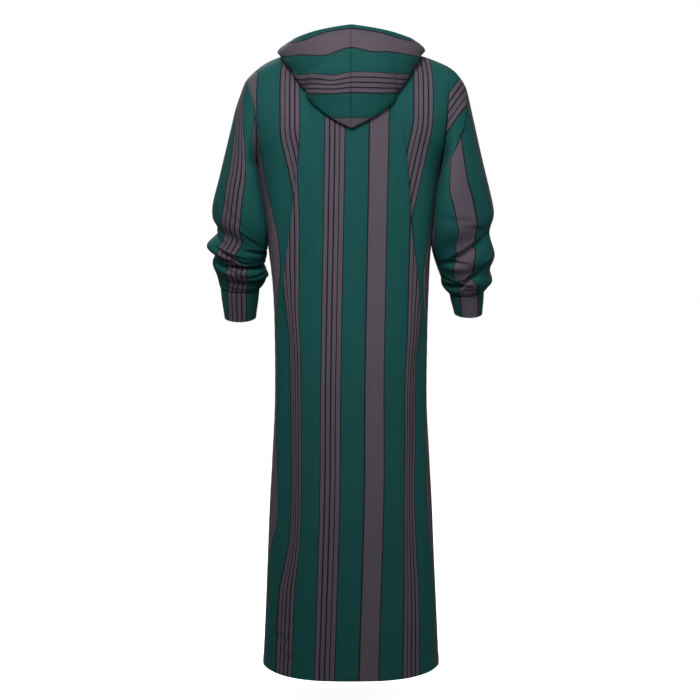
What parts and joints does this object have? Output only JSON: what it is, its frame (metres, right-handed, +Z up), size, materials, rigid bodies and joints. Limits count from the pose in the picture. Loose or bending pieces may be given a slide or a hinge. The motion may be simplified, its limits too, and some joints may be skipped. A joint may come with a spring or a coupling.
{
  "type": "hooded striped kaftan, worn shape",
  "caption": "Long straight-cut kaftan with a hood laid back and long sleeves pushed up into folds above narrow cuffs, hollow as worn.",
  "frame": {"origin": "midway between the neck ends of the two shoulder seams, at their height", "axes": "+Z up, -Y the wearer's front, +Y the back, +X the wearer's left"},
  "size_m": [0.6524, 0.2851, 1.4191],
  "materials": {
    "body_cloth": "smooth mid-weight twill in green and grey-taupe stripes with thin dark lines",
    "sleeve_cloth": "the same striped cloth, stripes running down the arm",
    "cuff_cloth": "the same striped cloth, doubled",
    "hood_cloth": "the same striped cloth, stripes running round the hood's rim"
  },
  "bodies": {
    "root": {"back": "body_cloth", "front": "body_cloth", "sleeve_left": "sleeve_cloth", "sleeve_right": "sleeve_cloth", "cuff_left": "cuff_cloth", "cuff_right": "cuff_cloth", "hood_left": "hood_cloth", "hood_right": "hood_cloth"}
  },
  "joints": []
}
